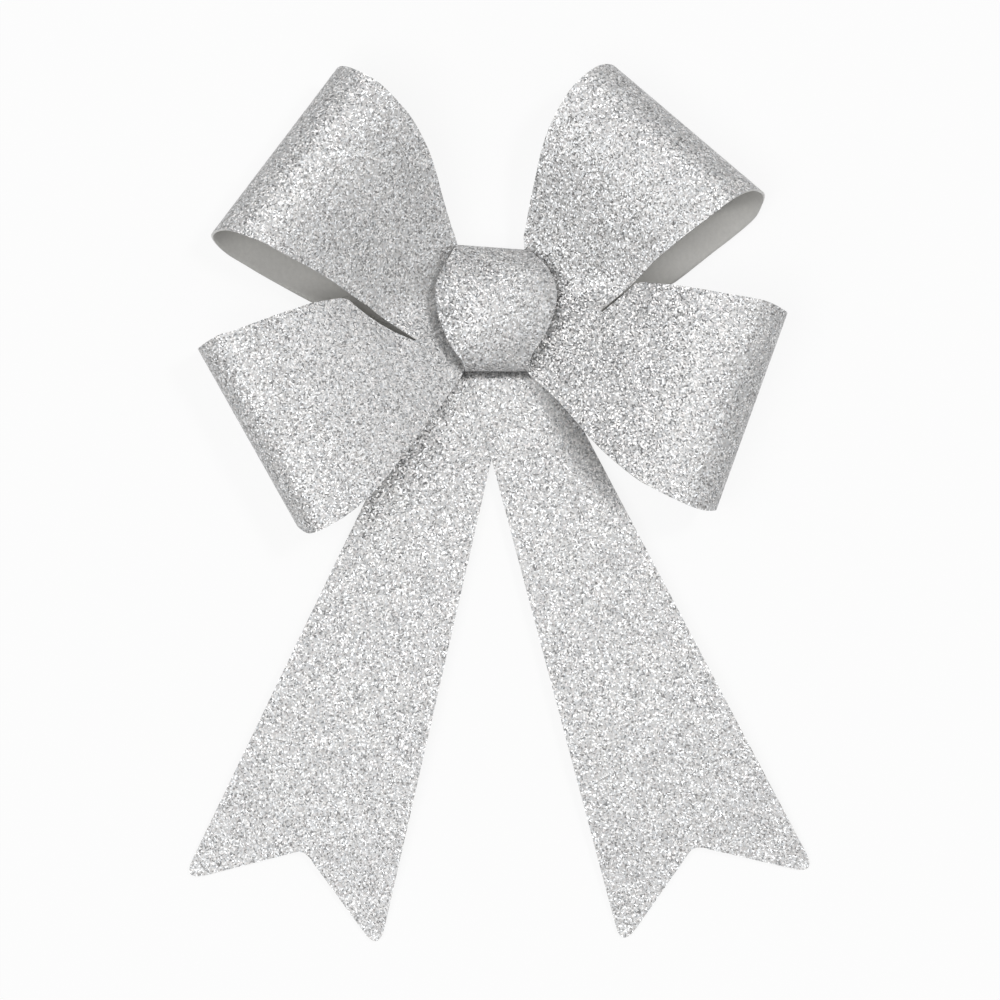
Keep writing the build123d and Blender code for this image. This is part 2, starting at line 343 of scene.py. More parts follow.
TONGUE_GAP = 0.3  # behind the waist, an arm ends this far short of the middle
TONGUE_WIDE = 8.0  # as wide as this,
TONGUE_SHARE = 0.7  # and past the waist by this share of the waist's half height

SLIT_EASE = 12.0  # past a slit's end, its two edges part over this
MEET_EASE = 9.0  # neighbouring arms run into each other over this
LIFT_ASIDE = 9.0  # a slit's edges are lifted this far to its sides,
LIFT_START = 8.0  # rising over this from its end,
LIFT_GONE = 14.0  # and sinking over this, from the same distance on
SEAM_RUN, BEYOND = 300.0, 400.0  # both end well outside the sheet


class Arm:
    """One of the sheet's four arms: its direction, its folded profile and its cut edges.

    reach: how far out its fold is. lean: how far it leans outwards as it rises. ease: how
    soon it rises. back, belly, crest: heights of its layer behind at the waist and at the
    fold, and of its top. lift: how far its edge along the slit stands up, or sinks.
    edges: what its cut line goes through.
    """

    def __init__(self, crest, side, upper, angle, reach, lean, ease, back, belly, lift, **edges):
        self.side, self.lean, self.lift, self.edges = side, lean, lift, edges
        self.along = unit(angle)
        self.out = unit(angle + 90 * side * (1 if upper else -1))
        middle = (crest + belly) / 2
        top = (reach - FOLD_TOP, crest)
        tip = (reach, middle)
        under = (reach - FOLD_UNDER, belly)
        behind = (LEVEL + BACK_LEVEL, back)
        shape = np.vstack([
            [(-PROFILE_LEAD, FRONT)],
            bezier((LEVEL, FRONT), (LEVEL + ease, FRONT), (reach - CREST_PULL, crest), top, 60),
            bezier(top, (reach - FOLD_PULL, crest), (reach, middle + TIP_PULL), tip, 30),
            bezier(tip, (reach, middle - TIP_PULL), (reach - FOLD_PULL, belly), under, 30),
            bezier(under, (reach - BELLY_PULL, belly), (LEVEL + BACK_PULL, back), behind, 30),
            [behind, (-PROFILE_TAIL, back)],
        ])
        self.u, self.z = shape.T
        self.s = distances(shape) - PROFILE_LEAD
        self.fold = int(self.u.argmax())

    def sideways(self, s):
        """How far the sheet leans outwards at a distance along the arm."""
        return self.lean * (np.interp(s, self.s, self.z) - FRONT) * smooth((s - LEVEL) / LEAN_EASE)

    def distance(self, u, behind=False):
        """How far along the arm the sheet is u out from the middle, in front or behind."""
        layer = slice(None, self.fold - 1, -1) if behind else slice(self.fold + 1)
        return np.interp(u, self.u[layer], self.s[layer])

    def flat(self, points, behind=False):
        """Where points seen from the front lie on the flat sheet."""
        points = np.array(points, float)
        s = self.distance(points @ self.along, behind)
        w = points @ self.out - self.sideways(s)
        return s[:, None] * self.along + w[:, None] * self.out

    def fold_point(self, point):
        """Where a point on the outline of the fold lies on the flat sheet."""
        s = self.s[self.fold]
        w = np.dot(point, self.out) - self.sideways(s)
        return (s * self.along + w * self.out)[None]

    def place(self, flat):
        """Points on the glitter face of the folded arm."""
        s, w = flat @ self.along, flat @ self.out
        out = w + self.sideways(s)
        plan = np.interp(s, self.s, self.u)[:, None] * self.along + out[:, None] * self.out
        return np.column_stack([plan, np.interp(s, self.s, self.z)])

    def cut_line(self, waist, outer, outer_fold, inner_fold, inner_back, inner, slit):
        """The arm's cut edge on the flat sheet, from the middle of the waist to the slit's end.

        waist: the edge under the knot band. outer and inner: the front's edges, out from
        the waist and back in to it. inner_back: the edge behind, out to the fold. Behind,
        the outer edge follows the front's, but is nowhere wider than the fold.
        """
        outer_front = self.flat(outer)
        s_back = self.distance(np.array(outer) @ self.along, behind=True)
        fold = self.fold_point(outer_fold)
        w_flat = np.minimum(outer_front @ self.out, fold[0] @ self.out)
        outer_back = (s_back[:, None] * self.along + w_flat[:, None] * self.out)[::-1]
        long_edge = curve_through(np.vstack([outer_front, fold, outer_back[1:]]))
        gap, past = self.side * TONGUE_GAP, -waist[0][1] * TONGUE_SHARE
        ends = self.flat([(x if x else gap, y) for x, y in waist[::-1]], behind=True)
        tongue = self.flat([(gap, past), (self.side * TONGUE_WIDE, past)], behind=True)
        inner_back, inner_front = self.flat(inner_back, behind=True), self.flat(inner[:-1])
        fold = self.fold_point(inner_fold)
        short_edge = curve_through(np.vstack([inner_back, fold, inner_front]))
        return np.vstack([waist, long_edge, ends, tongue, short_edge, self.flat(slit)])


# Seen from the front. The waist's edge is 0.1 mm or more inside the knot band.
LEFT_SLIT_END = (-20.0, -8.2)
RIGHT_SLIT_END = (26.0, -1.0)
UPPER = dict(upper=True, lean=0.36, ease=14, back=5.2, belly=3.0)
LOWER = dict(upper=False, lean=0.0, ease=10, back=4.5, belly=4.5)
ARMS = [
    dict(
        **UPPER, side=-1, angle=142.8, reach=66.9, lift=0.7,
        waist=[(0, 13.8), (-9.0, 14.4), (-9.8, 15.4)],
        outer=[(-10.3, 17.8), (-13.1, 26.6), (-15.1, 34.0), (-17.3, 40.0), (-20.7, 46.3),
            (-24.5, 50.9), (-28.8, 55.1), (-34.2, 58.2)],
        outer_fold=(-39.0, 58.6), inner_fold=(-69.8, 18.1),
        inner=[(-66.6, 19.2), (-62.1, 17.8), (-57.5, 16.0), (-51.6, 12.8), (-45.2, 9.4),
            (-40.6, 6.6), (-36.1, 3.4)],
        slit=[(-36.1, 3.4), (-31.5, 0.26), (-27.0, -3.3), (-22.8, -6.3), LEFT_SLIT_END],
        inner_back=[(-45.7, 1.4), (-49.8, 3.6), (-54.3, 6.1), (-58.9, 8.7), (-63.2, 11.3),
            (-67.7, 14.3)],
    ),
    dict(
        **UPPER, side=1, angle=49.7, reach=64.1, lift=0.5,
        waist=[(0, 13.8), (6.6, 13.2), (6.9, 14.2)],
        outer=[(6.6, 17.6), (8.1, 25.6), (10.0, 34.4), (12.5, 43.3), (17.1, 52.2), (20.4, 56.0),
            (24.8, 59.3)],
        outer_fold=(29.3, 59.6), inner_fold=(65.4, 28.2),
        inner=[(63.7, 29.1), (60.2, 27.9), (56.2, 25.3), (52.6, 22.5), (49.5, 20.2), (45.5, 17.1),
            (41.6, 13.9), (38.5, 11.2), (34.1, 6.6)],
        slit=[(34.1, 6.6), (31.4, 4.1), RIGHT_SLIT_END],
        inner_back=[(43.6, 6.1), (45.8, 7.7), (49.7, 10.8), (53.6, 13.9), (57.4, 16.8),
            (61.3, 20.0), (64.1, 22.8), (65.2, 25.0)],
    ),
    dict(
        **LOWER, side=-1, angle=209.3, reach=69.1, lift=-0.6,
        waist=[(0, -14.4), (-7.9, -14.4), (-8.2, -15.6)],
        outer=[(-8.9, -17.2), (-14.5, -25.0), (-18.8, -30.8), (-23.4, -36.9), (-28.3, -43.2),
            (-34.0, -48.9), (-38.3, -52.0), (-42.6, -54.4), (-46.3, -55.5)],
        outer_fold=(-49.2, -53.6), inner_fold=(-73.0, -9.9),
        inner=[(-69.0, -7.1), (-65.8, -6.1), (-62.0, -4.7), (-54.3, -1.8), (-45.7, 1.1),
            (-38.4, 2.4)],
        slit=[(-38.4, 2.4), (-36.5, 2.0), (-34.7, 0.4), (-31.5, -2.1), (-28.8, -3.9),
            (-25.1, -6.0), LEFT_SLIT_END],
        inner_back=[(-38.4, 2.6), (-45.7, 0.9), (-54.3, -2.0), (-62.0, -4.9), (-68.4, -7.6)],
    ),
    dict(
        **LOWER, side=1, angle=-19.85, reach=67.7, lift=-0.5,
        waist=[(0, -14.4), (7.2, -14.4), (7.4, -15.4)],
        outer=[(8.2, -16.6), (15.0, -22.8), (23.9, -33.0), (30.0, -38.6), (36.8, -43.5),
            (44.8, -47.6), (50.2, -49.7)],
        outer_fold=(53.6, -49.6), inner_fold=(71.2, -1.2),
        inner=[(67.2, 1.2), (62.0, 2.5), (56.0, 3.5), (50.0, 4.6), (43.4, 5.6), (36.0, 6.3)],
        slit=[(36.0, 6.3), (34.0, 5.9), (31.6, 3.6), RIGHT_SLIT_END],
        inner_back=[(34.4, 6.2), (43.4, 5.3), (50.0, 4.2), (58.0, 2.9), (66.6, 0.9)],
    ),
]


def build_arms(crest):
    """The four arms and their cut lines on the flat sheet."""
    arms = [Arm(crest, **data) for data in ARMS]
    return arms, [arm.cut_line(**arm.edges) for arm in arms]


def loops_layout(arms):
    """How the loops' flat sheet is divided between its arms, and how it is laid.

    The upper arms are 0 and 1, the lower ones 2 and 3, the left one first. Flipping a
    number's 2 gives the arm's neighbour on the same side.
    """
    slit_ends = {-1: np.array(LEFT_SLIT_END), 1: np.array(RIGHT_SLIT_END)}
    seams = {}
    # From the middle out along the upper arm's slit edge, then between the two arms.
    for i in (0, 1):
        edge = arms[i].flat(arms[i].edges["slit"])[::-1]
        between = arms[i].along + arms[i ^ 2].along
        seams[arms[i].side] = np.vstack([(0, 0), edge, edge[-1] + between * SEAM_RUN])

    def above(points, side):
        """Which points lie above the seam between the arms of one side."""
        far = np.array([(side * BEYOND, BEYOND), (0, BEYOND)])
        return inside(points, np.vstack([seams[side], far]))

    def owner_of(points):
        left = points[:, 0] < 0
        upper = np.where(left, above(points, -1), above(points, 1))
        return np.where(upper, 0, 2) + np.where(left, 0, 1)

    def parted(points):
        ends = np.where(points[:, :1] < 0, slit_ends[-1], slit_ends[1])
        return ((points - ends) * ends).sum(1) > 0

    def lay(points, parts):
        placed = np.zeros((len(points), 3))
        for i, arm in enumerate(arms):
            at, other = points[parts == i], arms[i ^ 2]
            end, slit = slit_ends[arm.side], seams[arm.side]
            heading = slit[2] - slit[1]
            past = (at - end) @ (heading / np.linalg.norm(heading))
            middle = arm.along + other.along
            normal = np.array([-middle[1], middle[0]]) / np.linalg.norm(middle)
            normal = normal * np.sign(normal @ arm.along)
            share = smooth((MEET_EASE - at @ normal) / (2 * MEET_EASE))
            share *= 1 - smooth(past / SLIT_EASE)
            there = arm.place(at) * (1 - share)[:, None] + other.place(at) * share[:, None]
            aside = np.linalg.norm(nearest_on(at, slit[1:-1]) - at, axis=1)
            near = (1 - smooth(aside / LIFT_ASIDE)) * smooth(past / LIFT_START)
            near *= 1 - smooth((past - LIFT_GONE) / LIFT_GONE)
            there[:, 2] += arm.lift * near
            placed[parts == i] = there
        return placed

    return owner_of, parted, lay


# --- knot band ---

KNOT_PITCH = 0.6  # width of its squares of sheet
KNOT_WALL = 15.6  # outside of its upper and lower walls, from the middle
KNOT_SIDE = 8.6  # the walls go straight up to here
KNOT_BROW = 9.6  # its domed front begins this far in from the walls
KNOT_FRONT = 15.5  # and at this height
INNER_TAB, OUTER_TAB = 2.4, 1.6  # outside of its two ends, which overlap behind
TAB_LONG = 8  # the ends reach this far past the middle
TAB_SIDE = 7.7  # half their width
TAB_LATE = 0.8  # the outer one begins this much later than the inner one
SHOULDER_FROM, SHOULDER_TO = 6.0, 3.0  # it widens from its tabs between these heights
FRONT_POINTS, BACK_POINTS = 50, 60  # of its path, to each side of the front and up to it
DOME_FROM, DOME_EASE = 7, 7  # its sides bend down from this height, over this
DOME_SIDE = 15  # how far from the middle they are bent down by the whole drop
KNOT_TILT = 0.072  # slope of its top edge,
TILT_AT = -10.7  # level here,
TILT_FROM, TILT_EASE = 8, 7  # and coming in above this, over this

# Seen from the front: the band's left and right cut edges, from the top down.
KNOT_LEFT = [(-9.7, 15.5), (-11.2, 13.4), (-13.0, 10.5), (-14.5, 7.5), (-15.1, 4.4), (-14.9, 0.7),
    (-14.2, -2.4), (-12.5, -7.1), (-10.0, -11.2), (-8.1, -14.1), (-7.4, -15.2)]
KNOT_RIGHT = [(7.0, 14.5), (9.2, 13.2), (11.3, 11.4), (13.2, 8.8), (14.4, 5.9), (14.8, 3.3),
    (14.6, 0.7), (13.7, -2.4), (12.4, -5.5), (10.3, -9.2), (8.3, -12.6), (7.1, -15.2)]


def knot_slope(x, y):
    """How far the band's top edge sits higher on the left than on the right."""
    return -KNOT_TILT * (x - TILT_AT) * smooth((y - TILT_FROM) / TILT_EASE)


def knot_path():
    """The band's outside from its inner tab, over the front and down to its outer tab."""
    w, inner, outer = KNOT_WALL, INNER_TAB, OUTER_TAB
    upper, lower = (w - KNOT_BROW, KNOT_FRONT), (KNOT_BROW - w, KNOT_FRONT)
    return np.vstack([
        bezier((-TAB_LONG, inner), (0, inner), (w - 4, inner), (w - 1.2, inner), 12),
        bezier((w - 1.2, inner), (w - 0.3, inner), (w, 2.7), (w, 3.6), 8),
        bezier((w, 3.6), (w, 5), (w, 7), (w, KNOT_SIDE), 8),
        bezier((w, KNOT_SIDE), (w, 12.6), (w - 5.2, 14.6), upper, 24),
        bezier(upper, (3.0, 16.15), (-3.0, 16.15), lower, 24),
        bezier(lower, (5.2 - w, 14.6), (-w, 12.6), (-w, KNOT_SIDE), 24),
        bezier((-w, KNOT_SIDE), (-w, 7), (-w, 5), (0.4 - w, 3.2), 8),
        bezier((0.4 - w, 3.2), (0.6 - w, 2.2), (1.0 - w, outer), (1.9 - w, outer), 8),
        bezier((1.9 - w, outer), (4.5 - w, outer), (0, outer), (TAB_LONG, outer), 12),
        [(TAB_LONG, outer)],
    ])


def knot_cut(path, along):
    """The band's outline on the flat sheet, glitter side up: across, and along the band."""
    top = int(path[:, 1].argmax())
    front, back = slice(top - FRONT_POINTS, top + FRONT_POINTS), slice(0, BACK_POINTS)
    rise = along[front][np.argsort(path[front, 0])]
    reach = np.sort(path[front, 0])
    wide_at, narrow_at = np.interp([SHOULDER_FROM, SHOULDER_TO], path[back, 1], along[back])
    last = along[-1]
    edges = []
    for points in (KNOT_RIGHT, KNOT_LEFT):
        x, y = np.array(points).T
        t = np.array([np.interp(b, reach + knot_slope(a, reach), rise) for a, b in zip(x, y)])
        end = np.sign(x[0]) * TAB_SIDE
        start = [(end, narrow_at), ((x[0] + end) / 2, wide_at)]
        line = np.vstack([start, np.column_stack([x, t]), [(end, last - narrow_at + TAB_LATE)]])
        edges.append(curve_through(line, KNOT_PITCH) * (-1, 1))
    left, right = edges
    near, far = [(-TAB_SIDE, 0)], [(-TAB_SIDE, last), (TAB_SIDE, last)]
    return np.vstack([near, left, far, right[::-1], [(TAB_SIDE, 0)], near])


# --- tails ---

# lean: from straight down, in degrees. root: where the tail's middle line crosses the knot's
# middle. slide: how far it is pulled down. level: height of its glitter face under the knot.
TAILS = [
    dict(
        name="left_tail_sheet", node="left_tail", over=[],
        lean=-19.3, root=-0.8, slide=-0.3, level=0.6,
    ),
    dict(
        name="right_tail_sheet", node="right_tail", over=["left_tail_sheet"],
        lean=21.35, root=-3.2, slide=0.4, level=1.4,
    ),
]
TAIL_PITCH = 0.66  # width of their squares of sheet
TAIL_TOP = 9.0  # how far a tail reaches up past the middle of the knot
TAIL_LONG = 159.3  # from the middle of the knot down to its tips
TAIL_NOTCH = 17.3  # depth of the notch between the tips
TAIL_SKEW = 0.5  # one tip is this much longer
TAIL_ROOT_W, TAIL_END_W = 15.7, 51.6  # width at the middle of the knot and at the tips
TIP_ROUND, NOTCH_ROUND = 2.9, 3.5
TAIL_FLAT = 52.0  # the arch begins near here
TAIL_LEAD = 20  # the profile begins this far up
TAIL_END = 4  # and ends this far past the tips
TAIL_CLEAR = 14.6  # further down than this, both tails rise
TAIL_RISE, RISE_EASE = 2.2, 2.8  # by this, over this,
RISE_END, RISE_FADE = 40, 60  # and sink back past this distance, over this
TAIL_CURL, CURL_EASE = 1.45, 6  # their outer edges curl down by this, over this,
CURL_END, CURL_FADE = 34, 30  # and straighten past this distance, over this


def tail_outline():
    """A tail's outline on the flat sheet: along it from the knot, and across."""
    flare = (TAIL_END_W - TAIL_ROOT_W) / 2 / TAIL_LONG
    top = TAIL_ROOT_W / 2 - flare * TAIL_TOP
    end = TAIL_END_W / 2
    points = [
        (-TAIL_TOP, -top), (TAIL_LONG, -end), (TAIL_LONG - TAIL_NOTCH, 0),
        (TAIL_LONG + TAIL_SKEW, end), (-TAIL_TOP, top)]
    return rounded(points, (0, TIP_ROUND, NOTCH_ROUND, TIP_ROUND, 0))


def tail_lay(data, arch):
    """How a tail's flat sheet lies: level at the knot, then in a low arch down to its tips.

    Just below the knot it rises, and its outer edge curls down, because the band pinches it.
    """
    level = data["level"]
    turn = unit(-90 + data["lean"])
    side = np.array([-turn[1], turn[0]])
    middle = (TAIL_FLAT + TAIL_LONG) / 2
    start, top, end = (TAIL_FLAT - 16, level), (middle, arch), (TAIL_LONG + TAIL_END, SHEET_T)
    path = np.vstack([
        [(-TAIL_LEAD, level)],
        bezier(start, (TAIL_FLAT + 6, level), (middle - 22, arch), top, 40),
        bezier(top, (middle + 22, arch), (TAIL_LONG - 14, SHEET_T + 1), end, 40),
        [end],
    ])
    s = distances(path) - TAIL_LEAD - data["slide"]

    def lay(points, parts):
        down, across = points.T
        half = TAIL_ROOT_W / 2 + (TAIL_END_W - TAIL_ROOT_W) / 2 * down / TAIL_LONG
        outward = np.clip(across * np.sign(data["lean"]), 0, None)
        along = np.interp(down, s, path[:, 0])
        plan = along[:, None] * turn + across[:, None] * side + (data["root"], 0)
        past = -plan[:, 1] - TAIL_CLEAR
        risen = smooth(past / RISE_EASE) * (1 - smooth((down - RISE_END) / RISE_FADE))
        curled = smooth(past / CURL_EASE) * (1 - smooth((down - CURL_END) / CURL_FADE))
        z = np.interp(down, s, path[:, 1])
        z = z + TAIL_RISE * risen - TAIL_CURL * (outward / half) ** 4 * curled
        return np.column_stack([plan, z])

    return lay


# --- finishes ---

def add_node(tree, kind, settings=None, **inputs):
    """Adds a node. inputs: its sockets by name, or by number as i0, i1 and so on."""
    node = tree.nodes.new("ShaderNode" + kind)
    for key, value in (settings or {}).items():
        setattr(node, key, value)
    for key, value in inputs.items():
        key = int(key[1:]) if key[0] == "i" and key[1:].isdigit() else key.replace("_", " ")
        if isinstance(value, bpy.types.NodeSocket):
            tree.links.new(value, node.inputs[key])
        else:
            node.inputs[key].default_value = value
    return node


class Nodes:
    """A material's node tree, built a step at a time."""

    def __init__(self, name, metallic=0.0, roughness=0.5, specular=0.5):
        self.material = bpy.data.materials.new(name)
        self.material.use_nodes = True
        self.tree = self.material.node_tree
        self.shader = self.tree.nodes["Principled BSDF"]
        self.shader.inputs["Metallic"].default_value = metallic
        self.shader.inputs["Roughness"].default_value = roughness
        self.shader.inputs["Specular IOR Level"].default_value = specular

    def add(self, kind, settings=None, **inputs):
        return add_node(self.tree, kind, settings, **inputs)

    def ramp(self, factor, stops):
        """Colours a factor by stops, each a position and its colour."""
        node = self.add("ValToRGB", Fac=factor)
        ramp = node.color_ramp.elements
        while len(ramp) < len(stops):
            ramp.new(0.5)
        for element, (position, colour) in zip(ramp, stops):
            element.position = position
            element.color = (*colour, 1)
        return node.outputs["Color"]

    def noise(self, place, scale, detail, roughness=0.5):
        """Cloudy pattern."""
        return self.add("TexNoise", Vector=place, Scale=scale, Detail=detail,
                        Roughness=roughness).outputs["Fac"]

    def multiply(self, first, second):
        """Two colours multiplied."""
        settings = {"data_type": "RGBA", "blend_type": "MULTIPLY"}
        return self.add("Mix", settings, i0=1.0, i6=first, i7=second).outputs[2]

    def drive(self, **sockets):
        """Links what has been made to the shader, and gives the finished material."""
        for key, value in sockets.items():
            self.tree.links.new(value, self.shader.inputs[key.replace("_", " ")])
        return self.material


def glitter_finish(finish):
    """Silver flakes laid close together, each with its own tilt and tint; some are painted bright
    as glints, some painted dark as reflections.
    """
    n = Nodes("glitter_flakes", metallic=0.45, roughness=0.36, specular=0.5)
    uv = n.add("UVMap", {"uv_map": "Flat"}).outputs["UV"]
    cells = n.add("TexVoronoi", {"voronoi_dimensions": "2D"}, Vector=uv, Scale=1 / finish.flake,
                  Randomness=0.85)
    draws = n.add("SeparateColor", Color=cells.outputs["Color"])
    # Painted glints and painted dark reflections: some flakes are coloured bright or dark at
    # random, and the low tone lies halfway to the dark.
    painted_dark_reflection, mid, bright = tuple(finish.painted_dark_reflection), tuple(finish.silver), tuple(finish.bright)
    low = tuple((a + b) / 2 for a, b in zip(painted_dark_reflection, mid))
    tone = n.ramp(draws.outputs["Red"], [
        (0.0, painted_dark_reflection), (0.09, painted_dark_reflection), (0.18, low), (0.32, mid), (0.74, mid), (0.88, bright),
        (1.0, bright)])
    tint = n.ramp(draws.outputs["Green"], [
        (0.0, (1.0, 0.955, 0.955)), (0.2, (1.0, 0.985, 0.96)), (0.5, (1, 1, 1)),
        (0.8, (0.98, 0.99, 1.0)), (1.0, (0.94, 0.97, 1.0))])
    patch = n.noise(uv, 55.0, 3.0, 0.6)
    shade = n.ramp(patch, [(0.3, (0.93, 0.93, 0.935)), (0.7, (1, 1, 1))])
    colour = n.multiply(n.multiply(tone, tint), shade)
    gloss = n.add("MapRange", Value=draws.outputs["Blue"], To_Min=0.3, To_Max=0.56)
    tilt = n.add("VectorMath", {"operation": "MULTIPLY_ADD"}, i0=cells.outputs["Color"],
                 i1=(2 * finish.tilt,) * 3, i2=(-finish.tilt,) * 3).outputs["Vector"]
    facing = n.add("NewGeometry").outputs["Normal"]
    turned = n.add("VectorMath", {"operation": "ADD"}, i0=tilt, i1=facing).outputs["Vector"]
    turned = n.add("VectorMath", {"operation": "NORMALIZE"}, i0=turned).outputs["Vector"]
    return n.drive(Base_Color=colour, Roughness=gloss.outputs["Result"], Normal=turned)


def backing_finish(finish):
    """Plain matt grey back of the sheet, with a faint paper grain."""
    n = Nodes("grey_backing", roughness=0.78, specular=0.3)
    uv = n.add("UVMap", {"uv_map": "Flat"}).outputs["UV"]
    grain = n.noise(uv, 900.0, 4.0, 0.7)
    cloud = n.noise(uv, 45.0, 2.0)
    base = tuple(finish.backing)
    lighter = tuple(min(1, c * 1.05) for c in base)
    darker = tuple(c * 0.93 for c in base)
    tone = n.ramp(grain, [(0.3, darker), (0.7, lighter)])
    shade = n.ramp(cloud, [(0.3, (0.94, 0.94, 0.94)), (0.7, (1, 1, 1))])
    bump = n.add("Bump", Height=grain, Strength=0.25, Distance=0.0001).outputs["Normal"]
    return n.drive(Base_Color=n.multiply(tone, shade), Normal=bump)


def edge_finish(finish):
    """Die-cut edge: pale core of the sheet, with a few flakes caught by the cut."""
    n = Nodes("cut_edge", roughness=0.6, specular=0.4)
    place = n.add("TexCoord").outputs["Object"]
    speck = n.noise(place, 1600.0, 2.0)
    base = tuple(finish.edge)
    colour = n.ramp(speck, [(0.35, tuple(c * 0.82 for c in base)), (0.6, base)])
    return n.drive(Base_Color=colour)


def sheet_finishes():
    """The sheet's three finishes: outside, back and cut edge. Made once and shared."""
    names = ("glitter_flakes", "grey_backing", "cut_edge")
    made = [bpy.data.materials.get(name) for name in names]
    if all(made):
        return made
    finish = bpy.context.scene.gift_bow.finish
    return [glitter_finish(finish), backing_finish(finish), edge_finish(finish)]


def wire_finish():
    """Drawn steel wire with faint lengthways marks."""
    n = Nodes("drawn_wire", metallic=0.95, roughness=0.32)
    place = n.add("TexCoord").outputs["Object"]
    drawn = n.add("Mapping", Vector=place, Scale=(300, 6000, 6000)).outputs["Vector"]
    marks = n.noise(drawn, 1.0, 3.0)
    colour = n.ramp(marks, [(0.3, (0.5, 0.5, 0.51)), (0.7, (0.68, 0.68, 0.69))])
    gloss = n.add("MapRange", Value=marks, To_Min=0.24, To_Max=0.42).outputs["Result"]
    return n.drive(Base_Color=colour, Roughness=gloss)


def glue_finish():
    """Milky hot-melt glue, cloudy where it was pressed flat."""
    n = Nodes("pressed_glue", roughness=0.38, specular=0.5)
    n.shader.inputs["Subsurface Weight"].default_value = 0.2
    n.shader.inputs["Subsurface Radius"].default_value = (0.001, 0.0009, 0.0007)
    place = n.add("TexCoord").outputs["Object"]
    cloud = n.noise(place, 500.0, 4.0)
    colour = n.ramp(cloud, [(0.3, (0.72, 0.69, 0.6)), (0.7, (0.82, 0.8, 0.73))])
    bump = n.add("Bump", Height=cloud, Strength=0.3, Distance=0.0002).outputs["Normal"]
    return n.drive(Base_Color=colour, Normal=bump)


def film_finish():
    """Silver plastic film of the twist tie, with fine crosswise puckers over its wire."""
    n = Nodes("puckered_film", metallic=0.5, roughness=0.3)
    place = n.add("TexCoord").outputs["Object"]
    ribs = n.add("TexWave", {"wave_type": "BANDS", "bands_direction": "X"}, Vector=place,
                 Scale=260.0, Distortion=1.5, Detail=2.0, Detail_Scale=2.0).outputs["Fac"]
    colour = n.ramp(ribs, [(0.0, (0.6, 0.6, 0.61)), (1.0, (0.72, 0.72, 0.73))])
    bump = n.add("Bump", Height=ribs, Strength=0.35, Distance=0.0002).outputs["Normal"]
    return n.drive(Base_Color=colour, Normal=bump)


def refinish(nodes, material):
    """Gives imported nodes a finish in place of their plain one."""
    for name in nodes:
        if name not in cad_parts:
            raise RuntimeError(f"the frame has no node {name}")
        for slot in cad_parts[name].material_slots:
            slot.material = material


# --- settings ---

def length(name, description, default, low=0.0):
    """A length that the user may change."""
    return FloatProperty(
        name=name, description=description, default=default, min=low, unit="LENGTH", precision=5)


def amount(name, description, default, **limits):
    """A plain number that the user may change."""
    return FloatProperty(name=name, description=description, default=default, **limits)


def colour(name, description, default):
    """A colour that the user may change."""
    return FloatVectorProperty(
        name=name, description=description, default=default, size=3, min=0, max=1, subtype="COLOR")


class GIFTBOW_PG_flakes(bpy.types.PropertyGroup):
    pitch: length("Grain", "Width of the squares that the loops are made of", 0.00069, 0.0004)
    relief: length("Relief", "How far a flake stands out of or sinks into the sheet", 0.000026)
    scatter: length("Scatter", "How far a flake lies off its place", 0.0002)


class GIFTBOW_PG_finish(bpy.types.PropertyGroup):
    silver: colour("Silver", "Most flakes", (0.512, 0.512, 0.512))
    # The bright and dark flakes are painted glints and painted dark reflections in the flakes'
    # colour.
    bright: colour("Bright", "Flakes that catch the light", (0.92, 0.92, 0.92))
    painted_dark_reflection: colour("Dark", "Flakes turned away from the light", (0.19, 0.19, 0.19))
    backing: colour("Backing", "Back of the glitter sheet", (0.6, 0.592, 0.57))
    edge: colour("Cut edge", "Core of the sheet where it is cut", (0.82, 0.82, 0.8))
    flake: length("Flake", "Width of one flake", 0.00033, 0.0001)
    tilt: amount("Tilt", "How far flakes are turned from the sheet", 0.22, min=0, max=1)


class GIFTBOW_PG_shape(bpy.types.PropertyGroup):
    crest: length("Loop height", "Top of the loops above the back", 0.0215, 0.012)
    dome: length("Knot side drop", "How far the knot's sides bend down from its middle", 0.0042)
    arch: length("Tail arch", "Top of the tails' arch above the back", 0.0042, 0.0015)


class GIFTBOW_PG_stage(bpy.types.PropertyGroup):
    floor: colour("Floor", "Pale floor under the bow", (0.9, 0.9, 0.9))
    key: amount("Key lamp", "Strength of the lamp at the upper right", 0.68, min=0)
    fill: amount("Fill lamp", "Strength of the broad lamp at the left", 1.16, min=0)
    sky: amount("Surroundings", "Strength of the even light all round", 0.36, min=0)
    distance: length("Camera distance", "From the surface that the bow lies on", 5.0, 0.3)
    lens: amount("Lens", "Focal length in millimetres", 730.0, min=20)


class GIFTBOW_PG_settings(bpy.types.PropertyGroup):
    flakes: PointerProperty(type=GIFTBOW_PG_flakes)
    finish: PointerProperty(type=GIFTBOW_PG_finish)
    shape: PointerProperty(type=GIFTBOW_PG_shape)
    stage: PointerProperty(type=GIFTBOW_PG_stage)


# --- operators for the pieces ---

def put_on_bow(piece, node):
    """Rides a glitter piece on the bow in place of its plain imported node."""
    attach(piece, "bow")
    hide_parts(node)


class GIFTBOW_OT_loops(bpy.types.Operator):
    """Fold the four-armed glitter sheet into the bow's loops"""
    bl_idname = "giftbow.loops"
    bl_label = "Loops"

    def execute(self, context):
        settings = context.scene.gift_bow
        arms, cuts = build_arms(settings.shape.crest / MM)
        owner_of, parted, lay = loops_layout(arms)
        bm = cut_sheet(cuts, settings.flakes.pitch / MM, owner_of, parted, hub=(0, 0))
        piece = form_sheet("folded_loops_sheet", bm, lay)
        put_on_bow(piece, "loops_sheet")
        return {"FINISHED"}


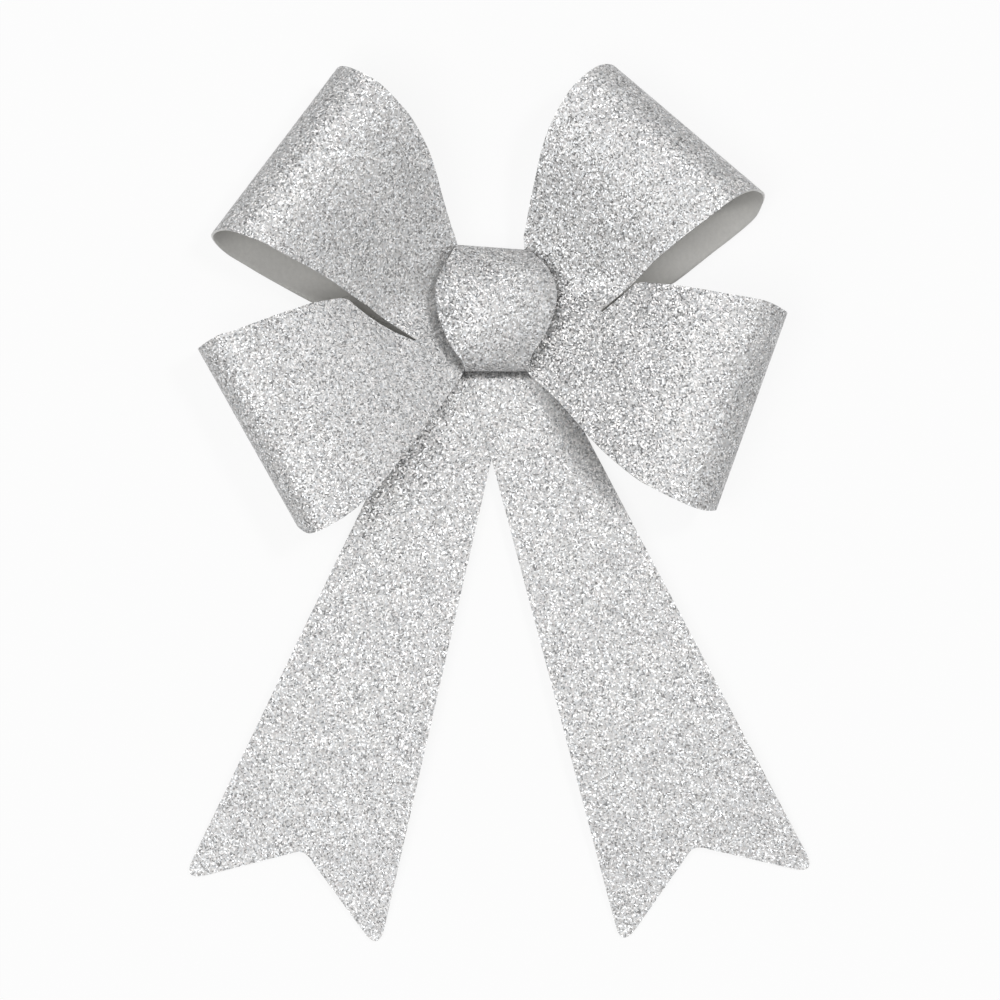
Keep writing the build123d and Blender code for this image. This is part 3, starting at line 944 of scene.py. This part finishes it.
class GIFTBOW_OT_knot(bpy.types.Operator):
    """Wrap the knot band round the waist of the loops"""
    bl_idname = "giftbow.knot"
    bl_label = "Knot band"

    def execute(self, context):
        path = knot_path()
        along = distances(path)
        drop = context.scene.gift_bow.shape.dome / MM

        def lay(points, parts):
            y = np.interp(points[:, 1], along, path[:, 0])
            z = np.interp(points[:, 1], along, path[:, 1])
            z = z - drop * (points[:, 0] / DOME_SIDE) ** 2 * smooth((z - DOME_FROM) / DOME_EASE)
            return np.column_stack([-points[:, 0], y + knot_slope(-points[:, 0], y), z])

        bm = cut_sheet([knot_cut(path, along)], KNOT_PITCH)
        piece = form_sheet("knot_band_sheet", bm, lay)
        put_on_bow(piece, "knot_band")
        return {"FINISHED"}


class GIFTBOW_OT_tails(bpy.types.Operator):
    """Cut the two swallow-tailed tails and lay them under the knot"""
    bl_idname = "giftbow.tails"
    bl_label = "Tails"

    def execute(self, context):
        arch = context.scene.gift_bow.shape.arch / MM
        outline = tail_outline()
        for data in TAILS:
            bm = cut_sheet([np.vstack([outline, outline[:1]])], TAIL_PITCH)
            piece = form_sheet(data["name"], bm, tail_lay(data, arch))
            put_on_bow(piece, data["node"])
        return {"FINISHED"}


class GIFTBOW_OT_fastenings(bpy.types.Operator):
    """Finish the staple and the dabs of glue that hold the bow together"""
    bl_idname = "giftbow.fastenings"
    bl_label = "Staple and glue"

    def execute(self, context):
        refinish(["waist_staple"], wire_finish())
        refinish(["knot_seam_glue", "knot_to_tail_glue", "tail_to_tail_glue"], glue_finish())
        return {"FINISHED"}


class GIFTBOW_OT_tie(bpy.types.Operator):
    """Finish the twist tie behind the loops, film and wire"""
    bl_idname = "giftbow.tie"
    bl_label = "Twist tie"

    def execute(self, context):
        parts = ("bridge", "right_leg", "left_leg")
        wire = bpy.data.materials.get("drawn_wire") or wire_finish()
        refinish([f"tie_{part}_film" for part in parts], film_finish())
        refinish([f"tie_{part}_wire" for part in parts], wire)
        return {"FINISHED"}


# --- stage ---

VIEW_CENTRE = (0.0008, -0.0473)  # the camera looks straight down on this point
KEY_FROM, KEY_SPREAD = (0.46, 0.3, 0.9), 10
FILL_FROM, FILL_SPREAD = (-0.34, -0.12, 0.9), 45
FLOOR_HALF = 6  # half the floor's width, in metres
FLOOR_DROP = 0.00005  # the floor lies this much below the bow
FLOOR_GLOW = 0.88  # share of plain white in what is seen of the floor


def seen_plainly(tree):
    """1 where the background is seen by the camera, in a gloss or through something clear."""
    rays = add_node(tree, "LightPath").outputs
    seen = rays["Is Camera Ray"]
    for kind in ("Is Glossy Ray", "Is Transmission Ray"):
        seen = add_node(tree, "Math", {"operation": "MAXIMUM"}, i0=seen, i1=rays[kind]).outputs[0]
    return seen


def floor_finish(colour):
    """Even pale floor that shows white, and keeps a soft shadow."""
    material = bpy.data.materials.new("pale_floor")
    material.use_nodes = True
    tree = material.node_tree
    tree.nodes.clear()
    matt = add_node(tree, "BsdfDiffuse", Color=(*colour, 1)).outputs[0]
    glow = add_node(tree, "Emission").outputs[0]
    seen = seen_plainly(tree)
    share = add_node(tree, "Math", {"operation": "MULTIPLY"}, i0=seen, i1=FLOOR_GLOW).outputs[0]
    mix = add_node(tree, "MixShader", i0=share, i1=matt, i2=glow)
    add_node(tree, "OutputMaterial", Surface=mix.outputs[0])
    return material


def pale_world(strength):
    """Even light all round, which the camera sees as white."""
    world = bpy.data.worlds.new("studio")
    bpy.context.scene.world = world
    world.use_nodes = True
    tree = world.node_tree
    tree.nodes.clear()
    white = (1, 1, 1, 1)
    around = add_node(tree, "Background", Color=white, Strength=strength).outputs[0]
    seen = add_node(tree, "Background", Color=white).outputs[0]
    mix = add_node(tree, "MixShader", i0=seen_plainly(tree), i1=around, i2=seen)
    add_node(tree, "OutputWorld", Surface=mix.outputs[0])


def add_lamp(name, strength, place, spread):
    """Far lamp that shines on the bow from the direction of a place, spread degrees broad."""
    lamp = bpy.data.lights.new(name, "SUN")
    lamp.energy, lamp.angle = strength, radians(spread)
    stand = put_in_scene(name, lamp)
    stand.location = place
    stand.rotation_euler = Vector(place).to_track_quat("Z", "Y").to_euler()


def add_floor(colour):
    """Wide pale floor just below the bow."""
    mesh = bpy.data.meshes.new("studio_floor")
    bm = bmesh.new()
    bmesh.ops.create_grid(bm, x_segments=2, y_segments=2, size=FLOOR_HALF)
    bmesh.ops.translate(bm, verts=bm.verts, vec=(0, 0, -FLOOR_DROP))
    bm.to_mesh(mesh)
    bm.free()
    mesh.materials.append(floor_finish(colour))
    put_in_scene("studio_floor", mesh)


def add_camera(distance, lens):
    """Camera that looks straight down on the bow."""
    camera = bpy.data.cameras.new("camera")
    camera.lens = lens
    camera.clip_start = 0.01
    view = put_in_scene("camera", camera)
    view.location = (*VIEW_CENTRE, distance)
    bpy.context.scene.camera = view


class GIFTBOW_OT_stage(bpy.types.Operator):
    """Set the pale floor, the soft lamps and the camera that looks straight down"""
    bl_idname = "giftbow.stage"
    bl_label = "Stage"

    def execute(self, context):
        stage = context.scene.gift_bow.stage
        add_floor(stage.floor)
        pale_world(stage.sky)
        add_lamp("key_lamp", stage.key, KEY_FROM, KEY_SPREAD)
        add_lamp("fill_lamp", stage.fill, FILL_FROM, FILL_SPREAD)
        add_camera(stage.distance, stage.lens)
        context.scene.view_settings.view_transform = "Standard"
        return {"FINISHED"}


# --- add-on ---

class GIFTBOW_PT_panel(bpy.types.Panel):
    """Sizes, finishes and makers of the bow's pieces"""
    bl_label = "Gift Bow"
    bl_idname = "GIFTBOW_PT_panel"
    bl_space_type = "VIEW_3D"
    bl_region_type = "UI"
    bl_category = "Gift Bow"

    def draw(self, context):
        settings = context.scene.gift_bow
        for group in (settings.shape, settings.flakes, settings.finish, settings.stage):
            box = self.layout.box()
            for key in group.bl_rna.properties.keys():
                if key not in ("rna_type", "name"):
                    box.prop(group, key)
        for operator in OPERATORS:
            self.layout.operator(operator.bl_idname)


OPERATORS = (
    GIFTBOW_OT_tails, GIFTBOW_OT_loops, GIFTBOW_OT_knot, GIFTBOW_OT_fastenings, GIFTBOW_OT_tie,
    GIFTBOW_OT_stage,
)
CLASSES = (
    GIFTBOW_PG_flakes, GIFTBOW_PG_finish, GIFTBOW_PG_shape, GIFTBOW_PG_stage,
    GIFTBOW_PG_settings, *OPERATORS, GIFTBOW_PT_panel,
)


def register():
    for cls in CLASSES:
        bpy.utils.register_class(cls)
    bpy.types.Scene.gift_bow = PointerProperty(type=GIFTBOW_PG_settings)


def unregister():
    del bpy.types.Scene.gift_bow
    for cls in reversed(CLASSES):
        bpy.utils.unregister_class(cls)


def main():
    register()
    for operator in OPERATORS:
        group, name = operator.bl_idname.split(".")
        getattr(getattr(bpy.ops, group), name)()


if __name__ == "__main__":
    main()
